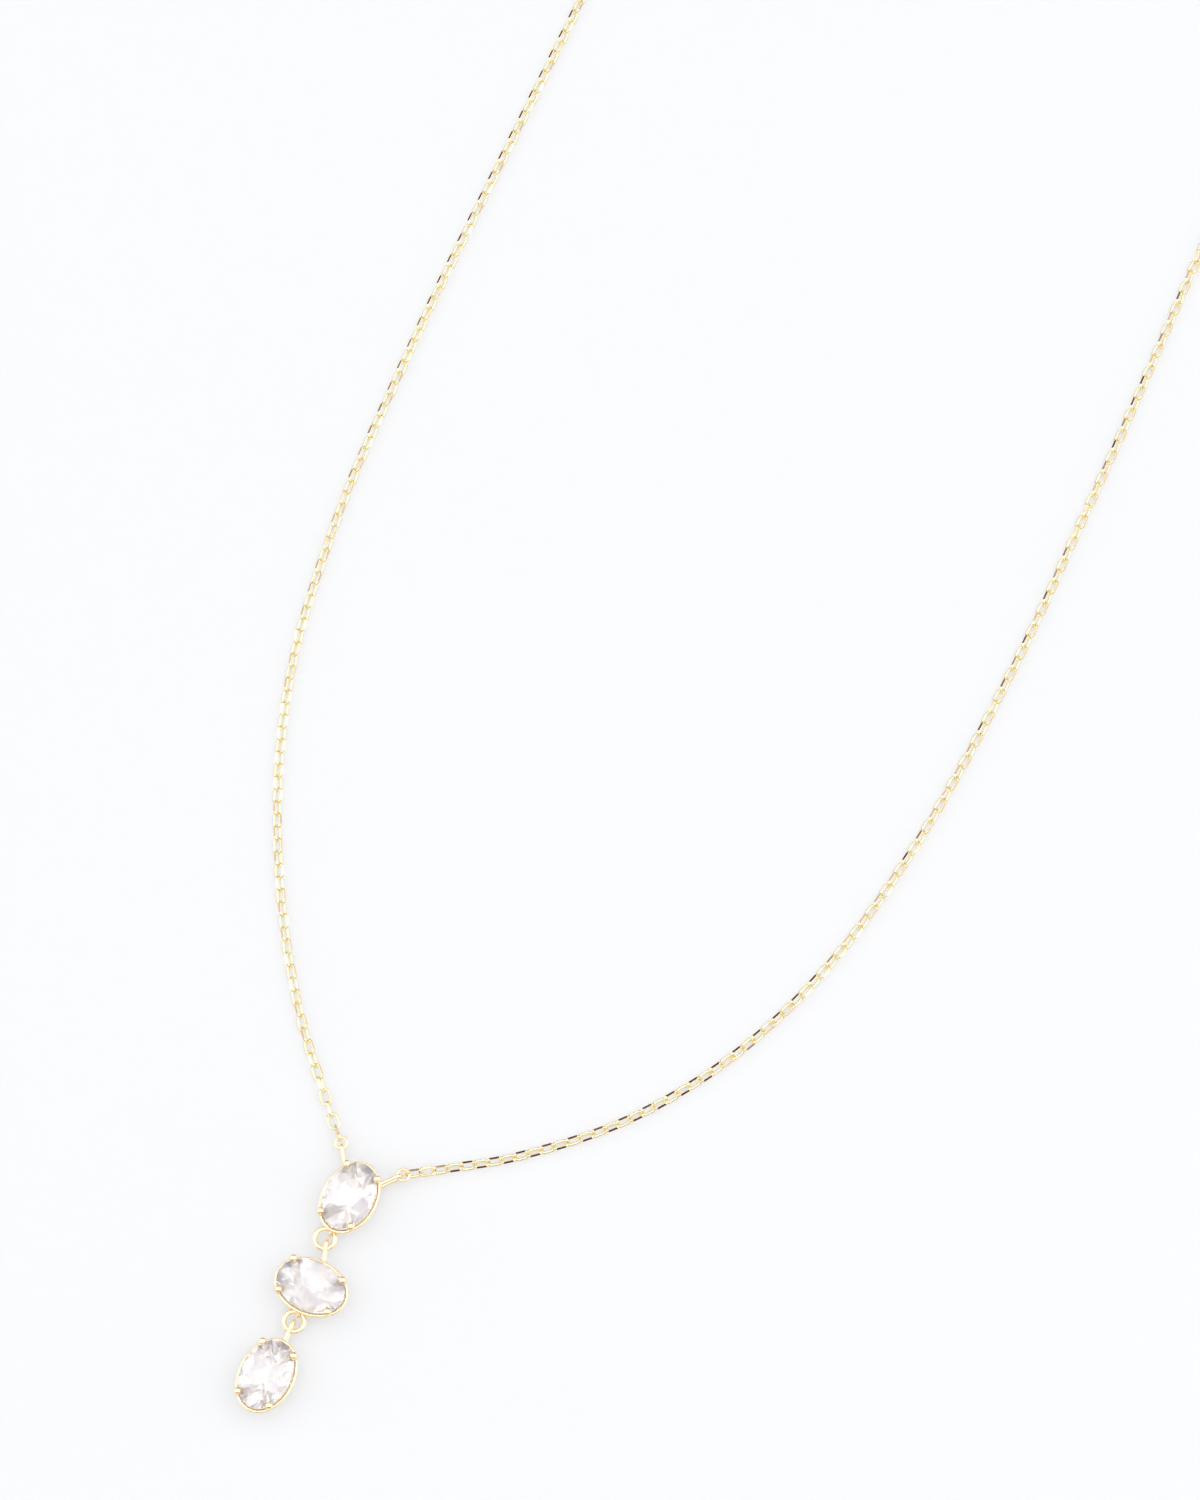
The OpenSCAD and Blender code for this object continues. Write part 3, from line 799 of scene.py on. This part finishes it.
def rings_and_clasp(gold):
    lean = Matrix.Rotation(math.radians(CLASP_RING_LEAN), 3, "X")
    return {
        "jump_ring_upper": round_ring("jump_ring_1", JUMP_UPPER_AT, JUMP_RING_R, JUMP_RING_WIRE, gold),
        "jump_ring_lower": round_ring("jump_ring_2", JUMP_LOWER_AT, JUMP_RING_R, JUMP_RING_WIRE, gold),
        "chain_ring_left": round_ring(
            "small_ring_left", RING_LEFT_AT, CHAIN_RING_R, CHAIN_RING_WIRE, gold),
        "chain_ring_right": round_ring(
            "small_ring_right", RING_RIGHT_AT, CHAIN_RING_R, CHAIN_RING_WIRE, gold),
        "clasp": clasp(gold),
        "clasp_ring": round_ring(
            "clasp_end_ring", CLASP_RING_AT, CLASP_RING_R, CLASP_RING_WIRE, gold, tilt=lean),
    }


def chain_sides(metals):
    reach = CHAIN_RING_R + CHAIN_RING_WIRE / 2 + END_GAP
    left_start = RING_LEFT_AT + heading(LEFT_PULL, reach)
    right_start = RING_RIGHT_AT + heading(RIGHT_PULL, reach)
    left_end = CLASP_EYELET_AT - Vector((CLASP_EYELET_R + CLASP_EYELET_WIRE / 2 + END_GAP, 0, 0))
    right_end = CLASP_RING_AT + Vector((CLASP_RING_R + CLASP_RING_WIRE / 2 + END_GAP, 0, 0))
    left_route = [left_start, *side_points(LEFT_SIDE), *back_points(-1, LEFT_RISE_Z), left_end]
    right_route = [right_start, *side_points(RIGHT_SIDE), *back_points(1, RIGHT_RISE_Z), right_end]
    tree = chain_tree()
    link = new_object("chain_link", link_mesh())
    sides = {
        "chain_left": chain(
            "chain_links_left", left_route, CHAIN_RING_WIRE, CLASP_EYELET_WIRE,
            rolls=(90, -37, -53), turn_over=9, seed=3, tree=tree, link=link, metals=metals),
        "chain_right": chain(
            "chain_links_right", right_route, CHAIN_RING_WIRE, CLASP_RING_WIRE,
            rolls=(68, -12, -21), turn_over=4.5, seed=8, tree=tree, link=link, metals=metals),
    }
    bpy.data.objects.remove(link)
    return sides


def main():
    gold = polished_gold("polished_gold", light=(0.98, 0.82, 0.57), deep=(0.97, 0.78, 0.49),
                         smoothest=0.22, roughest=0.32, relief=0.0000015)
    chain_gold = polished_gold("chain_gold", light=(0.97, 0.855, 0.55), deep=(0.96, 0.815, 0.47),
                               smoothest=0.18, roughest=0.28, relief=0.000001)
    # The cut faces' gold is darker than the chain's own: painted shade that deepens the dark dashes the
    # flats mirror
    cut_gold = polished_gold("cut_gold", light=(0.90, 0.70, 0.46), deep=(0.82, 0.61, 0.39),
                             smoothest=0.02, roughest=0.05, relief=0.0000002)
    stone = clear_stone()

    camera()
    surroundings()
    soft_lamp("window", at=(0.35, 0.15, 0.6), target=(0, -0.03, 0), size=0.35, power=0.4)
    table_top(pale_card())

    pieces = {**claw_settings(gold), **rings_and_clasp(gold), **chain_sides((chain_gold, cut_gold))}
    for node, piece in pieces.items():
        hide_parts(node)
        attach(piece, "root")
    for node in ("stone_top", "stone_middle", "stone_bottom"):
        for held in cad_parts[node].material_slots:
            held.material = stone

    view = bpy.context.scene.view_settings
    view.view_transform, view.look, view.exposure, view.gamma = "Standard", "None", 0, 1


main()
